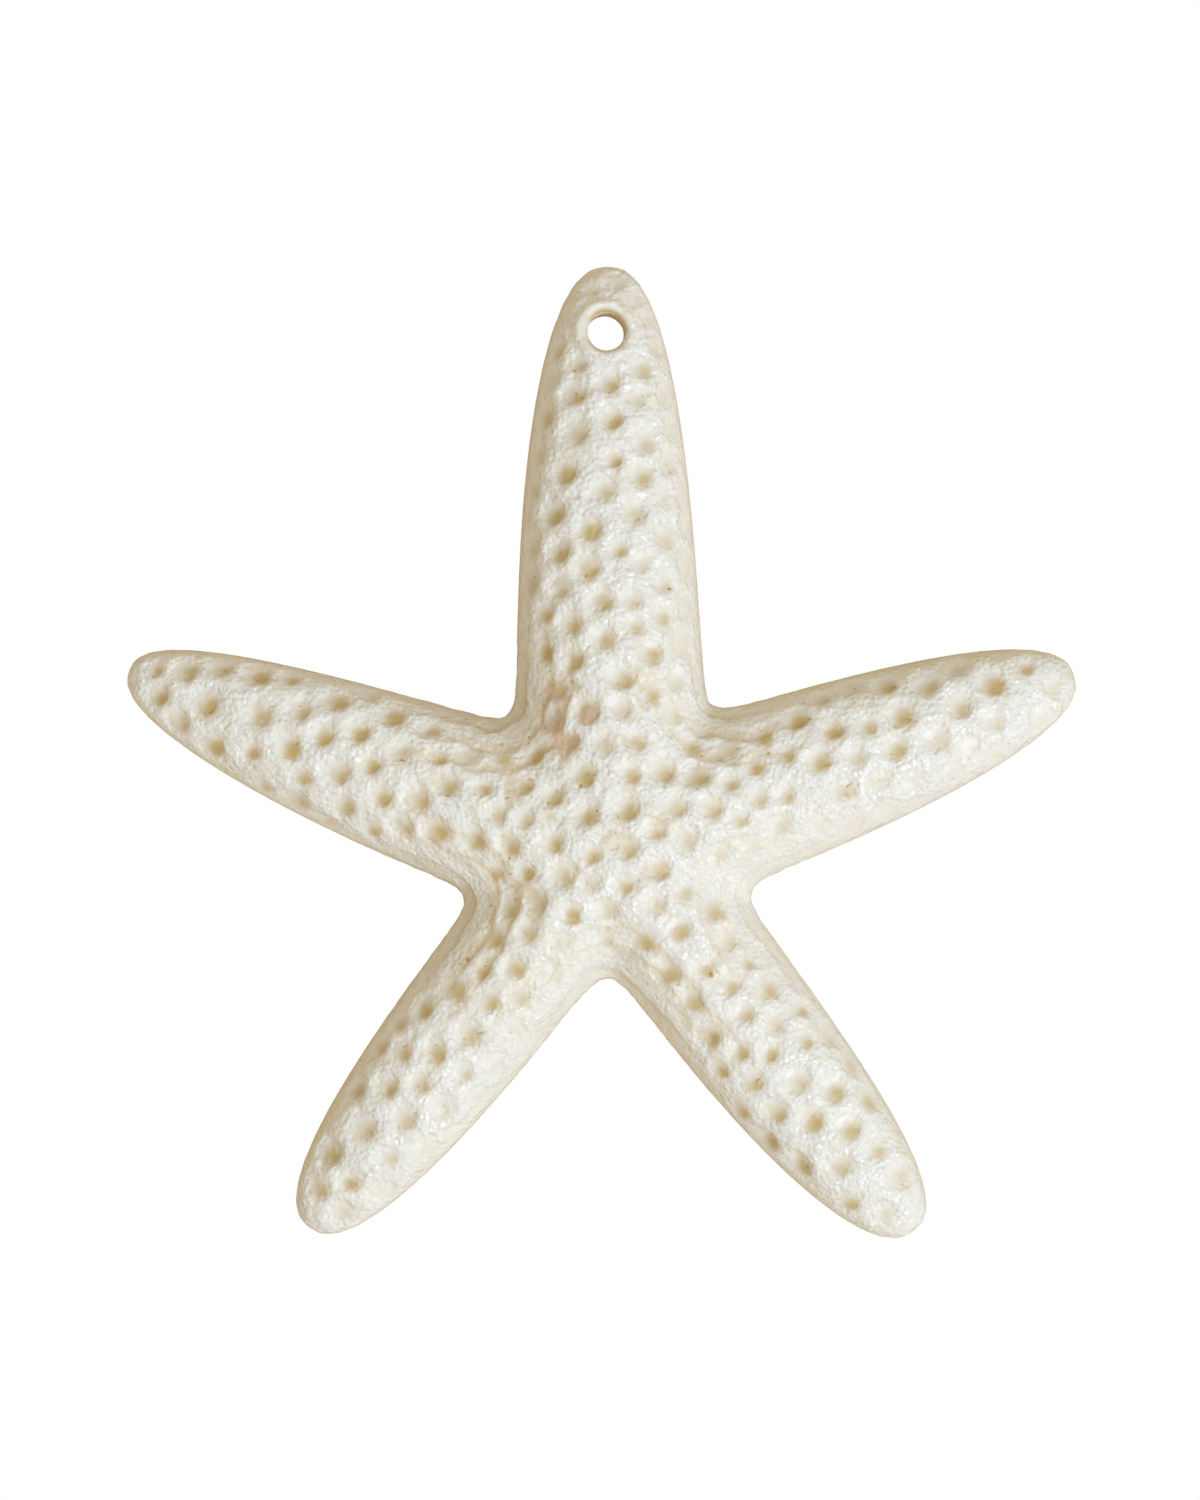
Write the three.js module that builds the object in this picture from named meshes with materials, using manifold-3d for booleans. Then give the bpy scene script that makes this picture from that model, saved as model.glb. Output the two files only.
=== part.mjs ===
// A dried, bleached finger starfish, about 60 mm across, drilled through near the tip of its longest
// arm so that it can be threaded on a cord or a hook. It grew as one piece, so it is one solid. It lies
// on its mouth side: +Z is up out of its back, +Y runs along the drilled arm, and the origin is on the
// surface that it rests on, under the middle of its own box. Millimetres and degrees.
import * as THREE from "three";
import { mergeVertices } from "three/addons/utils/BufferGeometryUtils.js";
import Module from "manifold-3d";

// Arms, clockwise from the drilled one as seen from above. Azimuth is clockwise from +Y, length runs
// from the centre of the disc to the tip, and a higher bluntness keeps an arm wide for longer. The root
// of an arm's middle line is beside the centre by offset, and its tip turns aside by a further bend.
const ARMS = [
  { azimuth: 357.5, length: 37, halfWidth: 6, bluntness: 2.7, offset: 0.6, bend: 1 },
  { azimuth: 71, length: 31.6, halfWidth: 5.5, bluntness: 2.3, offset: -0.6, bend: -0.4 },
  { azimuth: 144.5, length: 30.8, halfWidth: 4.7, bluntness: 3.5, offset: -0.65, bend: -1.2 },
  { azimuth: 217.5, length: 30.3, halfWidth: 4.6, bluntness: 3.5, offset: 0.3, bend: 0.2 },
  { azimuth: 288.1, length: 32.3, halfWidth: 5.5, bluntness: 1.95, offset: 0.3, bend: 1.2 },
];
const OUTLINE_FULLNESS = 2.35; // 2 ends an arm in an ellipse, higher is squarer
const JOIN_SHARPNESS = 7.4; // higher makes the webs between the arms tighter

const WAIST_Z = 3; // height of the widest line round the body
const RISE_PER_HALF_WIDTH = 0.85; // how far an arm's back stands above the waist
const DISC = { rise: 5.6, radius: 9 }; // the rise over the middle of the disc, and how far it reaches
const FLAT_SHARE = 0.6; // the underside is flat out to this share of the half width

const DRILL = { radius: 1.2, fromCentre: 32.9, lip: 0.55, leanRight: 3 };
const MOUTH = { radius: 1.9, depth: 1.7 };
const GROOVE = { mouthRadius: 1.15, tipRadius: 0.5, reach: 0.8, axisBelow: 0.2 };

const DISC_RINGS = 5;
const ARM_ROWS = 16;
const HALF_COLUMNS = 7;
const ROUND_SIDES = 24;

const radians = THREE.MathUtils.degToRad;

// The field of one arm: 0 at the centre of the disc, 1 on the arm's own outline, more outside.
function armLevel(arm, point) {
  const along = point.dot(arm.direction);
  const aside = point.dot(arm.side) - asideAt(arm, along);
  if (along < 0) return Math.hypot(along, aside) / arm.halfWidth;
  const across = (Math.abs(aside) / arm.halfWidth) ** OUTLINE_FULLNESS;
  const towardsTip = (along / arm.length) ** arm.bluntness;
  return (across + towardsTip) ** (1 / OUTLINE_FULLNESS);
}

function asideAt(arm, along) {
  return arm.offset + arm.bend * (Math.max(0, along) / arm.length) ** 2;
}

// The five arms blended: level is 0 in the middle and 1 on the outline, and rise is how far the
// nearby arms' backs stand above the waist.
function bodyAt(point) {
  let sum = 0;
  let rise = 0;
  for (const arm of ARMS) {
    const weight = Math.max(armLevel(arm, point), 1e-3) ** -JOIN_SHARPNESS;
    sum += weight;
    rise += weight * arm.halfWidth * RISE_PER_HALF_WIDTH;
  }
  return { level: Math.min(1, sum ** (-1 / JOIN_SHARPNESS)), rise: rise / sum };
}

function backHeight(point) {
  const { level, rise } = bodyAt(point);
  const discShare = Math.exp(-point.lengthSq() / DISC.radius ** 2);
  const top = rise + (DISC.rise - rise) * discShare;
  return WAIST_Z + top * (1 - level ** OUTLINE_FULLNESS) ** (1 / OUTLINE_FULLNESS);
}

function undersideHeight(point) {
  const curl = Math.max(0, (bodyAt(point).level - FLAT_SHARE) / (1 - FLAT_SHARE));
  return WAIST_Z * (1 - Math.sqrt(1 - curl ** 2));
}

// The first point on the outline that is met from start along a unit direction.
function outlinePoint(start, direction) {
  const pointAt = (distance) => start.clone().addScaledVector(direction, distance);
  const stride = 0.1;
  let outside = stride;
  while (bodyAt(pointAt(outside)).level < 1) outside += stride;
  let inside = outside - stride;
  for (let i = 0; i < 20; i++) {
    const middle = (inside + outside) / 2;
    if (bodyAt(pointAt(middle)).level < 1) inside = middle;
    else outside = middle;
  }
  return pointAt(inside);
}

function heading(azimuth) {
  return new THREE.Vector2(Math.sin(radians(azimuth)), Math.cos(radians(azimuth)));
}

function middleLine(arm, along) {
  return arm.direction.clone().multiplyScalar(along).addScaledVector(arm.side, asideAt(arm, along));
}

// Rows of plan points over one arm and its share of the disc, from the centre to the tip. Each row runs
// from one edge across the middle line to the other. In the disc the edges are shared with the next
// arms, and past it they lie on the outline.
function armRows(arm, webs) {
  const rows = [];
  const starts = webs.map((web) => web.dot(arm.direction));
  const middleStart = (starts[0] + starts[1]) / 2;
  for (let k = 0; k <= DISC_RINGS; k++) {
    const share = k / DISC_RINGS;
    const edges = webs.map((web) => web.clone().multiplyScalar(share));
    rows.push(rowAcross(edges, middleLine(arm, middleStart).multiplyScalar(share)));
  }
  for (let k = 1; k < ARM_ROWS; k++) {
    const share = (1 - Math.cos((Math.PI * k) / ARM_ROWS)) / 2;
    const station = (start) => start + (arm.length - start) * share;
    const edges = [-1, 1].map((sign, i) =>
      outlinePoint(middleLine(arm, station(starts[i])), arm.side.clone().multiplyScalar(sign)),
    );
    rows.push(rowAcross(edges, middleLine(arm, station(middleStart))));
  }
  const tip = outlinePoint(middleLine(arm, arm.length - 1), arm.direction);
  rows.push(new Array(2 * HALF_COLUMNS + 1).fill(tip));
  return rows;
}

function rowAcross([left, right], middle) {
  const row = [];
  for (let j = -HALF_COLUMNS; j <= HALF_COLUMNS; j++) {
    const share = Math.sin((Math.PI / 2) * (Math.abs(j) / HALF_COLUMNS));
    row.push(middle.clone().lerp(j < 0 ? left : right, share));
  }
  return row;
}

// Adds the triangles of a grid of points, leaving out those that a pole has closed up.
function addGrid(positions, grid, faceUp) {
  const addTriangle = (a, b, c) => {
    if (a.distanceTo(b) < 1e-3 || b.distanceTo(c) < 1e-3 || c.distanceTo(a) < 1e-3) return;
    for (const p of faceUp ? [a, b, c] : [a, c, b]) positions.push(p.x, p.y, p.z);
  };
  for (let k = 1; k < grid.length; k++) {
    for (let j = 1; j < grid[k].length; j++) {
      addTriangle(grid[k - 1][j - 1], grid[k - 1][j], grid[k][j]);
      addTriangle(grid[k - 1][j - 1], grid[k][j], grid[k][j - 1]);
    }
  }
}

function starfishBody() {
  const webs = ARMS.map((arm, i) => {
    const next = ARMS[(i + 1) % ARMS.length];
    const turn = (next.azimuth - arm.azimuth + 360) % 360;
    return outlinePoint(new THREE.Vector2(), heading(arm.azimuth + turn / 2));
  });
  const positions = [];
  ARMS.forEach((arm, i) => {
    const rows = armRows(arm, [webs.at(i - 1), webs[i]]);
    const raised = (heightAt) =>
      rows.map((row) => row.map((p) => new THREE.Vector3(p.x, p.y, heightAt(p))));
    const back = raised(backHeight);
    const underside = raised(undersideHeight);
    // Past the disc the two sheets meet along the outline, at the waist.
    for (let k = DISC_RINGS; k < rows.length; k++) {
      for (const j of [0, 2 * HALF_COLUMNS]) {
        back[k][j].z = WAIST_Z;
        underside[k][j].z = WAIST_Z;
      }
    }
    back.at(-1).forEach((p) => (p.z = WAIST_Z));
    underside.at(-1).forEach((p) => (p.z = WAIST_Z));
    addGrid(positions, back, true);
    addGrid(positions, underside, false);
  });
  return new THREE.BufferGeometry().setAttribute(
    "position",
    new THREE.Float32BufferAttribute(positions, 3),
  );
}

// A drill with a flare at each face of the arm, so that the hole ends in rounded lips.
function drillGeometry() {
  const { radius, lip } = DRILL;
  const thickness = backHeight(new THREE.Vector2(0, DRILL.fromCentre));
  const quarterTurn = [0, 1, 2, 3, 4].map((step) => (Math.PI / 8) * step);
  const flare = quarterTurn.map(
    (angle) =>
      new THREE.Vector2(radius + lip * (1 - Math.sin(angle)), thickness / 2 - lip * (1 - Math.cos(angle))),
  );
  const upper = [...flare.reverse(), new THREE.Vector2(radius + lip, thickness / 2 + lip)];
  upper.push(new THREE.Vector2(0, thickness / 2 + lip));
  const lower = upper.map((p) => new THREE.Vector2(p.x, -p.y)).reverse();
  return new THREE.LatheGeometry([...lower, ...upper], ROUND_SIDES)
    .rotateX(Math.PI / 2)
    .rotateY(radians(DRILL.leanRight))
    .translate(0, DRILL.fromCentre, thickness / 2);
}

// A round hollow in the middle of the underside.
function mouthGeometry() {
  return new THREE.SphereGeometry(MOUTH.radius, ROUND_SIDES, ROUND_SIDES / 2)
    .scale(1, 1, MOUTH.depth / MOUTH.radius)
    .rotateX(Math.PI / 2);
}

// A tapered round cutter along the middle of an arm's underside, from the mouth outwards.
function grooveGeometry(arm) {
  const length = arm.length * GROOVE.reach;
  return new THREE.CylinderGeometry(GROOVE.tipRadius, GROOVE.mouthRadius, length, ROUND_SIDES / 2)
    .translate(0, length / 2, -GROOVE.axisBelow)
    .rotateZ(-radians(arm.azimuth))
    .translate(arm.side.x * arm.offset, arm.side.y * arm.offset, 0);
}

const wasm = await Module();
wasm.setup();

function solidFrom(geometry) {
  const bare = geometry.clone().deleteAttribute("normal").deleteAttribute("uv");
  const merged = mergeVertices(bare, 1e-3);
  const triVerts = merged.index
    ? Array.from(merged.index.array)
    : [...Array(merged.attributes.position.count).keys()];
  const whole = [];
  for (let i = 0; i < triVerts.length; i += 3) {
    const [a, b, c] = triVerts.slice(i, i + 3);
    if (a !== b && b !== c && c !== a) whole.push(a, b, c);
  }
  return new wasm.Manifold(
    new wasm.Mesh({
      numProp: 3,
      vertProperties: merged.attributes.position.array,
      triVerts: new Uint32Array(whole),
    }),
  );
}

function geometryFrom(solid) {
  const mesh = solid.getMesh();
  return new THREE.BufferGeometry()
    .setAttribute("position", new THREE.BufferAttribute(new Float32Array(mesh.vertProperties), 3))
    .setIndex(new THREE.BufferAttribute(new Uint32Array(mesh.triVerts), 1));
}

for (const arm of ARMS) {
  arm.direction = heading(arm.azimuth);
  arm.side = heading(arm.azimuth + 90);
}

const cutters = [drillGeometry(), mouthGeometry(), ...ARMS.map(grooveGeometry)];
const solid = cutters.reduce(
  (body, cutter) => body.subtract(solidFrom(cutter)),
  solidFrom(starfishBody()),
);
const geometry = geometryFrom(solid);
geometry.computeVertexNormals();
geometry.computeBoundingBox();

const ivory = new THREE.MeshStandardMaterial({ color: 0xe6e1d3, roughness: 0.4, metalness: 0 });
const starfish = new THREE.Mesh(geometry, ivory);
starfish.name = "starfish";
const middle = geometry.boundingBox.getCenter(new THREE.Vector3());
starfish.position.set(-middle.x, -middle.y, 0);

const part = new THREE.Group();
part.add(starfish);

export default part;
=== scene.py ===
import math

import bpy
import numpy as np
from mathutils import Matrix, Vector, noise as space_noise
from mathutils.bvhtree import BVHTree
from mathutils.kdtree import KDTree


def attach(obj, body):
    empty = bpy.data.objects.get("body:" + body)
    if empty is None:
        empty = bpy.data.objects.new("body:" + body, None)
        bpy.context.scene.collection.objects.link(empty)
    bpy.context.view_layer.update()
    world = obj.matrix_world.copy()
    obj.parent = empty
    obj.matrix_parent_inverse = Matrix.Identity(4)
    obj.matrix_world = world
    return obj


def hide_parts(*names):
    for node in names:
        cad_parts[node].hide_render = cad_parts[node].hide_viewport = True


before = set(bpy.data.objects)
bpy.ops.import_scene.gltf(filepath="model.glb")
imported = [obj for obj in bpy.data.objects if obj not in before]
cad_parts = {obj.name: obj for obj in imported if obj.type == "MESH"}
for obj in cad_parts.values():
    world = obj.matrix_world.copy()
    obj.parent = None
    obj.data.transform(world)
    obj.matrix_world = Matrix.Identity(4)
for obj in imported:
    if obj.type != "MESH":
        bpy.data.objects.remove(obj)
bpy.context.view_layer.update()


# THE BODY. One dried starfish, grown as one piece: a small disc and five tapering arms of limy plates,
# bleached to ivory. It is drawn out of a five-sided drum, one arm from each side, and then drawn on to
# the solid that it has to fill. Azimuths are in degrees, clockwise from the drilled arm.

DISC_CENTRE = Vector((0.0003, -0.0064, 0.004))
DRUM_RADIUS = 0.0105
DRUM_HEIGHT = 0.0085
WEB_AZIMUTHS_AND_DISTANCES = (
    (34, 0.0104),
    (106, 0.0088),
    (178, 0.007),
    (250, 0.0087),
    (322, 0.0097),
)
ARM_AZIMUTHS_AND_LENGTHS = (
    (359, 0.0372),
    (69.5, 0.0318),
    (142.5, 0.031),
    (218, 0.0304),
    (289.5, 0.0324),
)
ARM_SHARES_AND_NARROWINGS = ((0.2, 0.97), (0.4, 0.96), (0.6, 0.93), (0.8, 0.85), (0.93, 0.72), (1, 0.6))


def only(obj):
    bpy.ops.object.select_all(action="DESELECT")
    obj.select_set(True)
    bpy.context.view_layer.objects.active = obj


def apply_modifier(obj, kind, **settings):
    only(obj)
    modifier = obj.modifiers.new(kind.lower(), kind)
    for name, value in settings.items():
        setattr(modifier, name, value)
    bpy.ops.object.modifier_apply(modifier=modifier.name)


def heading(azimuth):
    turn = math.radians(azimuth)
    return Vector((math.sin(turn), math.cos(turn), 0))


# Selects the one face for which wanted(face) is greatest, and stays in edit mode.
def select_face(obj, wanted):
    bpy.ops.object.mode_set(mode="EDIT")
    bpy.ops.mesh.select_mode(type="FACE")
    bpy.ops.mesh.select_all(action="DESELECT")
    bpy.ops.object.mode_set(mode="OBJECT")
    face = max(obj.data.polygons, key=wanted)
    face.select = True
    centre = face.center.copy()
    bpy.ops.object.mode_set(mode="EDIT")
    return centre


bpy.ops.object.select_all(action="DESELECT")
bpy.ops.mesh.primitive_cylinder_add(
    vertices=5,
    radius=DRUM_RADIUS,
    depth=DRUM_HEIGHT,
    location=DISC_CENTRE,
    rotation=(0, 0, -math.radians(WEB_AZIMUTHS_AND_DISTANCES[0][0])),
)
starfish = bpy.context.object
starfish.name = "starfish_body"
bpy.ops.object.transform_apply(location=True, rotation=True, scale=True)

# Each corner of the drum is drawn in to the web that it stands for.
for azimuth, distance in WEB_AZIMUTHS_AND_DISTANCES:
    for corner in starfish.data.vertices:
        if (corner.co - DISC_CENTRE).dot(heading(azimuth)) > 0.95 * DRUM_RADIUS:
            web = DISC_CENTRE + heading(azimuth) * distance
            corner.co.x, corner.co.y = web.x, web.y

# Each arm is pulled out of its side of the drum in steps that narrow towards the tip.
for azimuth, length in ARM_AZIMUTHS_AND_LENGTHS:
    out = heading(azimuth)
    place = select_face(
        starfish,
        lambda face: ((face.center - DISC_CENTRE).length < DRUM_RADIUS, face.normal.dot(out)),
    )
    root = (place - DISC_CENTRE).dot(out)
    for share, narrowing in ARM_SHARES_AND_NARROWINGS:
        target = DISC_CENTRE + out * (root + (length - root) * share)
        bpy.ops.mesh.extrude_region_move(TRANSFORM_OT_translate={"value": target - place})
        bpy.ops.transform.resize(value=(narrowing,) * 3, center_override=target)
        place = target
    bpy.ops.object.mode_set(mode="OBJECT")

for levels in (3, 1):
    apply_modifier(starfish, "SUBSURF", levels=levels, render_levels=levels)
    apply_modifier(
        starfish,
        "SHRINKWRAP",
        target=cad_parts["starfish"],
        wrap_method="NEAREST_SURFACEPOINT",
    )
apply_modifier(starfish, "SMOOTH", factor=0.5, iterations=6)


# THE HOLE. It was drilled right through the longest arm, near its tip, for a cord or a jump ring, and its
# lips are worn round. The drill is a rod whose ends flare out.

HOLE_RADIUS = 0.00122
HOLE_PLACE = Vector((0.00023, 0.0264, 0.003))
HOLE_LEAN = 3
DRILL_SIDES = 48
DRILL_STRAIGHT_LENGTH = 0.0046
FLARE_RISES_AND_WIDENINGS = ((0.00018, 1.03), (0.00018, 1.07), (0.00018, 1.12), (0.0012, 1.2))
VOXEL_SIZE = 0.00016

bpy.ops.object.select_all(action="DESELECT")
bpy.ops.mesh.primitive_cylinder_add(
    vertices=DRILL_SIDES,
    radius=HOLE_RADIUS,
    depth=DRILL_STRAIGHT_LENGTH,
    location=HOLE_PLACE,
)
drill = bpy.context.object
bpy.ops.object.transform_apply(location=True, rotation=False, scale=False)
for end in (-1, 1):
    place = select_face(drill, lambda face: face.center.z * end)
    for rise, widening in FLARE_RISES_AND_WIDENINGS:
        bpy.ops.mesh.extrude_region_move(TRANSFORM_OT_translate={"value": (0, 0, end * rise)})
        place.z += end * rise
        bpy.ops.transform.resize(value=(widening, widening, 1), center_override=place)
    bpy.ops.object.mode_set(mode="OBJECT")
lean = Matrix.Rotation(math.radians(HOLE_LEAN), 4, "Y")
drill.data.transform(Matrix.Translation(HOLE_PLACE) @ lean @ Matrix.Translation(-HOLE_PLACE))

apply_modifier(starfish, "BOOLEAN", operation="DIFFERENCE", object=drill, solver="EXACT")
bpy.data.objects.remove(drill)
apply_modifier(starfish, "REMESH", mode="VOXEL", voxel_size=VOXEL_SIZE, use_smooth_shade=True)
apply_modifier(starfish, "SMOOTH", factor=0.5, iterations=6)


# THE PITS. The gaps between the limy plates show as round pits in the back. They are packed in from the
# sides to the middle, each as close to its neighbours as it fits. In the webs, the plates stand in
# terraces instead, and the lower sides are a pavement of plates with no pits.

WAIST_HEIGHT = 0.003
BACK_HEIGHT = 0.0026
WEB_ENDS = (0.011, 0.018)
MARGIN_IN_WEBS = 0.0035
MARGIN_ON_ARMS = 0.001
MARGIN_AT_HOLE = 0.0006
SPOT_SPACING = 0.00016
PIT_RADII = (0.00072, 0.00108)
PIT_GAPS = (0.0002, 0.0007)
SMALL_PIT_RADII = (0.00025, 0.00045)
SMALL_PIT_GAPS = (0.00055, 0.0008)
BOWL_DEPTHS_PER_RADIUS = (0.115, 0.205, 0.32)
BOWL_SOFTNESSES = (0.5, 0.85)
TERRACE_EDGES = (0, 0.0009, 0.0023, 0.0037)
TERRACE_RISE = 0.85
# The side that faces the light.
LIT_SIDE = (0.8, -0.6, 0)
# The side turned away from the light, which gets a painted tan shade.
SHADED_SIDE = (-0.5, 0.85, 0)
LIP_RADIUS = 0.0017
LIP_WIDTH = 0.00032
MOST_TRIANGLES = 190000


def points_and_normals(obj):
    count = len(obj.data.vertices)
    points = np.empty(count * 3)
    normals = np.empty(count * 3, np.float32)
    obj.data.vertices.foreach_get("co", points)
    obj.data.vertex_normals.foreach_get("vector", normals)
    return points.reshape(-1, 3), normals.reshape(-1, 3)


def level_distance(places, origin):
    return np.hypot(places[:, 0] - origin.x, places[:, 1] - origin.y)


def waviness(places, size):
    return np.array([space_noise.noise(Vector(place) / size) for place in places])


rng = np.random.default_rng(11)
points, normals = points_and_normals(starfish)
from_hole = level_distance(points, HOLE_PLACE)
near_web = np.interp(level_distance(points, DISC_CENTRE), WEB_ENDS, (1, 0))

# The widest line all round is read off the solid. So are the spots where a pit may be, so that the
# pattern is the same each time it is made.
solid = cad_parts["starfish"].data
corners = [corner.co.copy() for corner in solid.vertices]
shell = BVHTree.FromPolygons(corners, [list(face.vertices) for face in solid.polygons])
rim = []
for edge in solid.edges:
    first_end, last_end = (corners[i] for i in edge.vertices)
    if max(abs(first_end.z - WAIST_HEIGHT), abs(last_end.z - WAIST_HEIGHT)) < 0.00002:
        rim += [first_end.lerp(last_end, k / 8) for k in range(8)]
waist = KDTree(len(rim))
outline = KDTree(len(rim))
for i, place in enumerate(rim):
    waist.insert(place, i)
    outline.insert((place.x, place.y, 0), i)
waist.balance()
outline.balance()

back = np.flatnonzero((points[:, 2] > BACK_HEIGHT) & (from_hole > HOLE_RADIUS + 0.0007))
inward = np.zeros(len(points))
inward[back] = [outline.find((x, y, 0))[2] for x, y, _ in points[back]]

spots = []
span = np.arange(-0.031, 0.031, SPOT_SPACING)
for x in span:
    for y in span:
        shift_x, shift_y = rng.uniform(0, SPOT_SPACING, 2)
        place = shell.ray_cast(Vector((x + shift_x, y + shift_y, 0.02)), Vector((0, 0, -1)))[0]
        if place is not None and place.z > BACK_HEIGHT:
            spots.append(place)
from_waist = np.array([waist.find(place)[2] for place in spots])
spots = np.array(spots)
spot_from_centre = level_distance(spots, DISC_CENTRE)
size_share = np.interp(spot_from_centre, (0, 0.01, 0.026, 0.036), (0.95, 0.95, 1, 0.8))
margin = np.interp(spot_from_centre, WEB_ENDS, (MARGIN_IN_WEBS, MARGIN_ON_ARMS))

# How far each spot is from the nearest thing that a pit keeps clear of, and from the next nearest. Each
# new pit goes where both are least. Once no pit of the usual size fits, small ones fill what gaps are left.
clear = np.minimum(from_waist - margin, level_distance(spots, HOLE_PLACE) - HOLE_RADIUS - MARGIN_AT_HOLE)
second = np.full(len(spots), 0.004)
pits = []


def pack_pits(radii, gaps, allowed_misses):
    global clear, second
    misses = 0
    while misses < allowed_misses:
        radius = rng.uniform(*radii) * size_share
        gap = rng.uniform(*gaps)
        fits = np.flatnonzero(clear > radius + gap)
        if len(fits) == 0:
            misses += 1
            continue
        snug = clear[fits] + 0.6 * second[fits] + rng.uniform(0, 0.0002, len(fits))
        chosen = fits[snug.argmin()]
        to_edge = np.linalg.norm(spots - spots[chosen], axis=1) - radius[chosen]
        second = np.minimum(second, np.maximum(to_edge, clear))
        clear = np.minimum(clear, to_edge)
        pits.append((np.linalg.norm(points - spots[chosen], axis=1).argmin(), radius[chosen]))


pack_pits(PIT_RADII, PIT_GAPS, 25)
pack_pits(SMALL_PIT_RADII, SMALL_PIT_GAPS, 1)

# Each point of the skin belongs to the pit that it is nearest to, counted in that pit's radii. A pit on a
# slope is drawn out along it, and its tan lies to the lower right, on the wall turned away from the light:
# partly the pit's own tan, partly painted shade.
wobble = waviness(points, 0.0009)
reach = np.full(len(points), 3.0)
depth = np.zeros(len(points))
owner = np.zeros(len(points), dtype=int)
closeness = np.zeros(len(points))
tan_and_shade = np.zeros(len(points))
softness = np.ones(len(points))
streak = np.zeros((len(points), 3))
for centre, r in pits:
    away = points - points[centre]
    spoke = away / (np.linalg.norm(away, axis=1)[:, None] + 1e-9)
    along = np.cross(normals[centre], (0, 0, 1))
    along /= np.linalg.norm(along) + 1e-9
    most = 0.5 + 0.35 * near_web[centre]
    stretch = np.interp(normals[centre, 2], (0.35, 0.85), (most, 0)) + rng.uniform(0, 0.15)
    t = np.sqrt((away**2).sum(1) - stretch * (away @ along) ** 2) / r * (1 + 0.1 * wobble)
    nearer = t < reach
    owner[nearer] = centre
    closeness += np.exp(-6 * t)
    reach[nearer] = t[nearer]
    depth[nearer] = r * rng.triangular(*BOWL_DEPTHS_PER_RADIUS)
    softness[nearer] = rng.uniform(*BOWL_SOFTNESSES)
    streak[nearer] = rng.uniform(0, 50, 3) + 3 * spoke[nearer]
    # The tan gathers on the wall turned away from the light: partly the pit's own tan, partly painted
    # shade.
    pooled = np.sqrt(((away - np.array((0.7, -0.7, 0)) * 0.6 * r) ** 2).sum(1)) / r
    tan_and_shade[nearer] = np.interp(pooled[nearer], (0.2, 1.2), (1, 0)) * rng.triangular(0.4, 0.75, 1)

# The pits are shallower, with less tan and painted shade, on the side that faces the light and beyond the
# hole, and fade out down the sides.
facing = np.interp(normals[:, 2], (0.15, 0.75), (0.1, 1))
facing *= np.interp(from_hole, (0.0019, 0.0024), (0, 1))
facing += (1 - facing) * 0.6 * near_web
lit_facing = normals @ np.array(LIT_SIDE)
beyond_hole = np.interp(points[:, 1], (HOLE_PLACE.y, HOLE_PLACE.y + 0.001), (1, 0.45))
tan_and_shade *= facing * np.interp(lit_facing, (0, 0.6), (1, 0.35)) * beyond_hole
depth *= np.interp(lit_facing, (0.1, 0.6), (1, 0.6)) * beyond_hole

# The terraces follow the outline of the webs, with scalloped edges and painted shade in their corners,
# darker on the side turned away from the light.
step = np.interp(inward, TERRACE_EDGES, (0, 1, 2, 3)) + 0.3 * waviness(points, 0.0016)
ledge = np.where(step % 1 < TERRACE_RISE, (step % 1) / TERRACE_RISE, (1 - step % 1) / (1 - TERRACE_RISE))
ledge *= near_web * (inward > 0) * (step > 0) * np.interp(step, (2.85, 3), (1, 0))
# Painted shade in the terraces' corners, more of it on the side turned away from the light.
tan_and_shade = np.maximum(tan_and_shade, ledge * np.interp(lit_facing, (-0.4, 0.4), (0.52, 0.2)))

# The streaks that run down the pits' walls stop short of the line where two pits meet.
edges = np.zeros(2 * len(starfish.data.edges), dtype=int)
starfish.data.edges.foreach_get("vertices", edges)
edges = edges.reshape(-1, 2)
streak_share = (reach < 1.3).astype(float)
streak_share[edges[owner[edges[:, 0]] != owner[edges[:, 1]]]] = 0
for _ in range(2):
    streak_share[edges[streak_share[edges].min(axis=1) == 0]] = 0

# The hole's wall is bare and its lip is worn. The wall gets a painted shade, deepest on the upper right of
# its rim.
hole_wear = np.interp(from_hole, (0.0014, 0.0019), (1, 0))
hole_wear[(from_hole < 0.0016) & (normals[:, 2] < 0.5)] = 2
upper_right = np.interp((points - HOLE_PLACE) @ (0.7, 0.71, 0), (-0.0008, 0.001), (0.2, 1))
rim_painted_shade = upper_right * np.interp(from_hole, (0.00125, 0.00155), (1, 0))
reach = np.where(rim_painted_shade > 0, 0.7, reach)
tan_and_shade = np.maximum(tan_and_shade, rim_painted_shade)

bowl = np.clip(1 - reach**2, 0, 1) ** softness * facing * depth / 0.001
rounded_reach = -np.log(closeness + 1e-9) / 6
terraced = near_web * np.interp(inward, (0.003, 0.004), (1, 0))
crest = facing * np.interp(rounded_reach, (0.85, 1, 1.3), (0, 0.25, 1)) * (1 - terraced)
lip = np.exp(-(((from_hole - LIP_RADIUS) / LIP_WIDTH) ** 2)) * (normals[:, 2] > 0.2) * (0.9 + 0.5 * wobble)
pavement = np.interp(normals[:, 2], (-0.4, -0.05), (1, 0)) * (from_hole > 0.0019)
reach = np.where(ledge > 0, np.minimum(reach, 1.05 - 0.35 * ledge), reach)

lumps = bpy.data.textures.new("lumps", "CLOUDS")
lumps.noise_scale = 0.0007
lumps.noise_depth = 2
plates = bpy.data.textures.new("plates", "VORONOI")
plates.noise_scale = 0.0011

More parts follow.
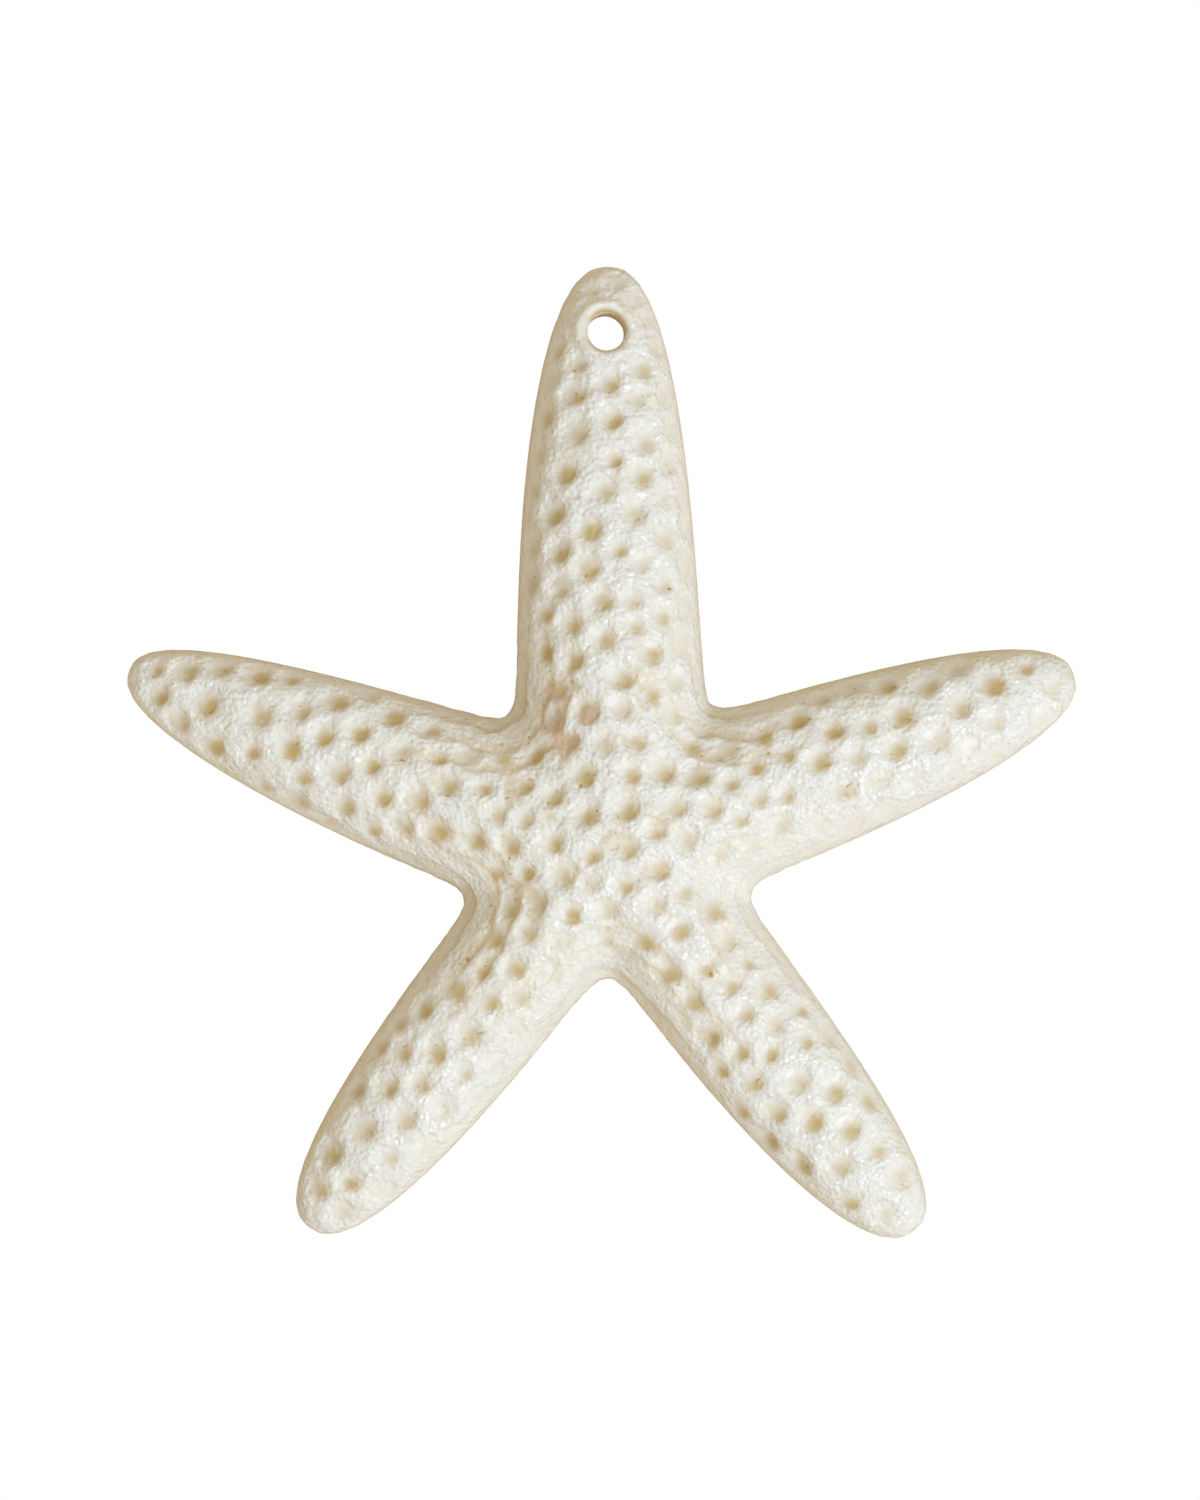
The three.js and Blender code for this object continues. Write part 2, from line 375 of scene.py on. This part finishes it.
for name, weights, strength, middle, texture in (
    ("bowls", bowl, -0.001, 0, None),
    ("crests", crest, 0.0001, 0, None),
    ("ledges", ledge, -0.00013, 0, None),
    ("lip", lip, 0.00032, 0, None),
    ("back", facing, 0.00024, 0.5, lumps),
    ("plates", pavement, -0.00022, 0, plates),
):
    group = starfish.vertex_groups.new(name=name)
    for i in np.flatnonzero(weights > 0.002):
        group.add([int(i)], float(weights[i]), "REPLACE")
    apply_modifier(
        starfish,
        "DISPLACE",
        texture=texture,
        texture_coords="LOCAL",
        vertex_group=name,
        strength=strength,
        mid_level=middle,
    )
starfish.vertex_groups.clear()

for name, values in (
    ("pit_reach", reach),
    ("pit_tan_and_shade", tan_and_shade),
    ("streak_share", streak_share),
    ("hole_wear", hole_wear),
    ("grain_share", np.interp(normals[:, 2], (0.1, 0.6), (0.15, 1))),
    # painted tan shade on the sides turned away from the light
    ("painted_side_shade", np.interp(normals @ np.array(SHADED_SIDE), (0.4, 0.95), (0, 1))),
):
    attribute = starfish.data.attributes.new(name, "FLOAT", "POINT")
    attribute.data.foreach_set("value", values.astype(np.float32))
streaks = starfish.data.attributes.new("pit_streak", "FLOAT_VECTOR", "POINT")
streaks.data.foreach_set("vector", streak.astype(np.float32).ravel())

share = MOST_TRIANGLES / sum(len(f.vertices) - 2 for f in starfish.data.polygons)
apply_modifier(starfish, "DECIMATE", decimate_type="COLLAPSE", ratio=share)
bpy.ops.object.shade_smooth()


# THE FINISH. Bleached lime, half see-through like wax: chalk white and glossy on the ridges, duller and
# ivory in the pits, with a painted shade in them and, in their deepest parts, tan that is partly their own
# and partly painted shade, rust and flecks. The sides turned away from the light and the hole's wall get a
# painted tan shade. A fine sugary grain covers the back, up to the worn lip of the hole.

CHALK = (0.97, 0.98, 0.985, 1)
PALE_IVORY = (0.95, 0.95, 0.93, 1)
GRAIN_IVORY = (0.93, 0.915, 0.875, 1)
STREAK_IVORY = (0.9, 0.87, 0.8, 1)
PAINTED_SIDE_SHADE = (0.93, 0.88, 0.74, 1)
PIT_IVORY_AND_SHADE = (0.96, 0.95, 0.925, 1)
TAN_AND_PAINTED_SHADE = (0.67, 0.51, 0.24, 1)
RUST = (0.72, 0.55, 0.4, 1)
FLECK_BROWN = (0.58, 0.38, 0.14, 1)
BORE_PAINTED_SHADE = (0.97, 0.89, 0.74, 1)
RUST_PLACE = (-0.0018, 0.0022, 0.0082)
RUST_SPREAD = (0.0036, 0.0014)
RIDGE_ROUGHNESS = 0.13
BORE_ROUGHNESS = 0.8
PIT_DULLNESS = 0.22
GRAIN_HEIGHT = 0.000115

skeleton = bpy.data.materials.new("bleached_skeleton")
skeleton.use_nodes = True
nodes, links = skeleton.node_tree.nodes, skeleton.node_tree.links
shader = nodes["Principled BSDF"]
shader.inputs["IOR"].default_value = 1.5
shader.subsurface_method = "BURLEY"
shader.inputs["Subsurface Weight"].default_value = 0.5
shader.inputs["Subsurface Radius"].default_value = (1, 0.55, 0.15)
shader.inputs["Subsurface Scale"].default_value = 0.0009


def add(kind, **settings):
    node = nodes.new(kind)
    for name, value in settings.items():
        if name in node.inputs:
            node.inputs[name].default_value = value
        else:
            setattr(node, name, value)
    return node


def painted(name):
    return add("ShaderNodeAttribute", attribute_name=name).outputs["Fac"]


def mask_between(source, low, high):
    node = add("ShaderNodeMapRange", interpolation_type="SMOOTHSTEP")
    links.new(source, node.inputs["Value"])
    node.inputs["From Min"].default_value = low
    node.inputs["From Max"].default_value = high
    return node.outputs["Result"]


def times(first, *others):
    for other in others:
        node = add("ShaderNodeMath", operation="MULTIPLY")
        links.new(first, node.inputs[0])
        links.new(other, node.inputs[1])
        first = node.outputs[0]
    return first


def plus(first, second, share):
    node = add("ShaderNodeMath", operation="MULTIPLY_ADD")
    links.new(second, node.inputs[0])
    node.inputs[1].default_value = share
    links.new(first, node.inputs[2])
    return node.outputs[0]


def centred(source, middle=0.5):
    node = add("ShaderNodeMath", operation="SUBTRACT")
    links.new(source, node.inputs[0])
    node.inputs[1].default_value = middle
    return node.outputs[0]


def tint(mask, under, over):
    node = add("ShaderNodeMix", data_type="RGBA")
    links.new(mask, node.inputs[0])
    for socket, value in ((node.inputs[6], under), (node.inputs[7], over)):
        if isinstance(value, tuple):
            socket.default_value = value
        else:
            links.new(value, socket)
    return node.outputs[2]


where = add("ShaderNodeTexCoord").outputs["Object"]


def noise(scale, detail, roughness, place=where):
    node = add("ShaderNodeTexNoise", Scale=scale, Detail=detail, Roughness=roughness)
    links.new(place, node.inputs["Vector"])
    return node.outputs["Fac"]


reach_in = painted("pit_reach")
tan_and_shade_in = painted("pit_tan_and_shade")
streak_share_in = painted("streak_share")
wear_in = painted("hole_wear")
streak_in = add("ShaderNodeAttribute", attribute_name="pit_streak").outputs["Vector"]

streaks = noise(2.2, 3, 0.6, streak_in)
near_pit = times(mask_between(reach_in, 0.6, 0.95), mask_between(reach_in, 1.5, 1.15), streak_share_in)
in_pit = mask_between(reach_in, 1.05, 0.87)
deep_in = mask_between(reach_in, 1.05, 0.7)
bore = mask_between(wear_in, 1.2, 1.8)

from_rust = add("ShaderNodeVectorMath", operation="DISTANCE")
links.new(where, from_rust.inputs[0])
from_rust.inputs[1].default_value = RUST_PLACE
rust_patch = mask_between(from_rust.outputs["Value"], *RUST_SPREAD)
rust_blotches = mask_between(noise(420, 2, 0.5), 0.3, 0.6)
flecks = mask_between(noise(2700, 1, 0.5), 0.69, 0.75)

colour = tint(mask_between(noise(260, 3, 0.6), 0.45, 0.7), CHALK, PALE_IVORY)
colour = tint(mask_between(noise(6500, 2, 0.6), 0.42, 0.28), colour, GRAIN_IVORY)
colour = tint(times(near_pit, mask_between(streaks, 0.5, 0.3)), colour, STREAK_IVORY)
# Painted shade: tan on the sides turned away from the light.
colour = tint(painted("painted_side_shade"), colour, PAINTED_SIDE_SHADE)
# The pits are a darker ivory: partly their own colour, partly painted shade in the hollows.
colour = tint(in_pit, colour, PIT_IVORY_AND_SHADE)
# Tan in the pits, partly their own colour and partly painted shade, and painted shade in the terraces and
# on the hole's rim.
colour = tint(times(deep_in, mask_between(tan_and_shade_in, 0, 0.85)), colour, TAN_AND_PAINTED_SHADE)
colour = tint(times(in_pit, mask_between(tan_and_shade_in, -0.1, 0.5), rust_patch, rust_blotches), colour, RUST)
colour = tint(times(flecks, mask_between(tan_and_shade_in, 0.1, 0.4), in_pit), colour, FLECK_BROWN)
# Painted shade on the hole's wall.
colour = tint(bore, colour, BORE_PAINTED_SHADE)
links.new(colour, shader.inputs["Base Color"])

gloss = add("ShaderNodeMapRange")
links.new(bore, gloss.inputs["Value"])
gloss.inputs["To Min"].default_value = RIDGE_ROUGHNESS
gloss.inputs["To Max"].default_value = BORE_ROUGHNESS
links.new(plus(gloss.outputs["Result"], in_pit, PIT_DULLNESS), shader.inputs["Roughness"])

grains = add("ShaderNodeTexVoronoi", feature="SMOOTH_F1", Scale=3200, Smoothness=0.4)
links.new(where, grains.inputs["Vector"])
ring = times(mask_between(reach_in, 0.94, 1.03), mask_between(reach_in, 1.14, 1.06))
sugar = plus(centred(noise(3000, 1, 0.5)), centred(grains.outputs["Distance"], 0.4), -0.9)
sugar = times(sugar, mask_between(reach_in, 0.25, 1.05))
sugar = plus(sugar, times(ring, streak_share_in), 0.13)
sugar = plus(sugar, times(centred(streaks), near_pit), 0.8)
sugar = times(sugar, mask_between(wear_in, 0.9, 0.1), painted("grain_share"))
grain_bump = add("ShaderNodeBump", Strength=1, Distance=GRAIN_HEIGHT)
links.new(sugar, grain_bump.inputs["Height"])
links.new(grain_bump.outputs["Normal"], shader.inputs["Normal"])

starfish.data.materials.clear()
starfish.data.materials.append(skeleton)

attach(starfish, "root")
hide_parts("starfish")


# THE FLOOR. A plain sweep of paper that the starfish lies on. Looked at, it is bleached out to pure
# white. What it throws back at the starfish is the warm light of a pale paper.

FLOOR_SIZE = 3
PAPER_COLOUR = (0.61, 0.5, 0.35, 1)
PAPER_GLOW = (1, 0.8, 0.5, 1)
PAPER_GLOW_STRENGTH = 0.12

bpy.ops.object.select_all(action="DESELECT")
bpy.ops.mesh.primitive_plane_add(size=FLOOR_SIZE, location=(0, 0, 0))
floor = bpy.context.object
floor.name = "floor"
paper = bpy.data.materials.new("white_sweep")
paper.use_nodes = True
paper_nodes, paper_links = paper.node_tree.nodes, paper.node_tree.links
paper_shader = paper_nodes["Principled BSDF"]
paper_shader.inputs["Base Color"].default_value = PAPER_COLOUR
paper_shader.inputs["Emission Color"].default_value = PAPER_GLOW
paper_shader.inputs["Emission Strength"].default_value = PAPER_GLOW_STRENGTH
paper_shader.inputs["Roughness"].default_value = 0.9
bleached_out = paper_nodes.new("ShaderNodeEmission")
looked_at = paper_nodes.new("ShaderNodeLightPath")
paper_mix = paper_nodes.new("ShaderNodeMixShader")
paper_links.new(looked_at.outputs["Is Camera Ray"], paper_mix.inputs[0])
paper_links.new(paper_shader.outputs[0], paper_mix.inputs[1])
paper_links.new(bleached_out.outputs[0], paper_mix.inputs[2])
paper_links.new(paper_mix.outputs[0], paper_nodes["Material Output"].inputs["Surface"])
floor.data.materials.append(paper)


# THE LIGHT. A cool softbox low at the right and a weaker one overhead, in a warm pale room that fills
# the shadows. Looked at, the room is white like the floor.

KEY_COLOUR = (0.75, 0.87, 1)
TOP_COLOUR = (0.68, 0.86, 1)
ROOM_COLOUR = (1, 0.8, 0.49, 1)
ROOM_STRENGTH = 0.425


def add_softbox(name, place, size, watts, colour):
    data = bpy.data.lights.new(name, "AREA")
    data.shape = "DISK"
    data.size = size
    data.energy = watts
    data.color = colour
    lamp = bpy.data.objects.new(name, data)
    bpy.context.scene.collection.objects.link(lamp)
    lamp.location = place
    lamp.rotation_euler = (-Vector(place)).to_track_quat("-Z", "Y").to_euler()


add_softbox("key", (0.44, -0.31, 0.52), 0.3, 2.7, KEY_COLOUR)
add_softbox("top", (0.05, 0.03, 0.7), 0.3, 1.05, TOP_COLOUR)

room = bpy.data.worlds.new("room")
room.use_nodes = True
room_nodes, room_links = room.node_tree.nodes, room.node_tree.links
room_light = room_nodes["Background"]
room_light.inputs["Color"].default_value = ROOM_COLOUR
room_light.inputs["Strength"].default_value = ROOM_STRENGTH
backdrop = room_nodes.new("ShaderNodeBackground")
backdrop.inputs["Color"].default_value = (1, 1, 1, 1)
seen = room_nodes.new("ShaderNodeLightPath")
choice = room_nodes.new("ShaderNodeMixShader")
room_links.new(seen.outputs["Is Camera Ray"], choice.inputs[0])
room_links.new(room_light.outputs[0], choice.inputs[1])
room_links.new(backdrop.outputs[0], choice.inputs[2])
room_links.new(choice.outputs[0], room_nodes["World Output"].inputs["Surface"])
bpy.context.scene.world = room
bpy.context.scene.view_settings.view_transform = "Standard"


# THE CAMERA. It looks straight down on the back, with the drilled arm at the top, from a third of a metre
# above the floor.

camera_data = bpy.data.cameras.new("camera")
camera_data.lens = 120
camera_data.sensor_width = 36
camera = bpy.data.objects.new("camera", camera_data)
bpy.context.scene.collection.objects.link(camera)
camera.location = (-0.0001, 0.00013, 0.319)
bpy.context.scene.camera = camera
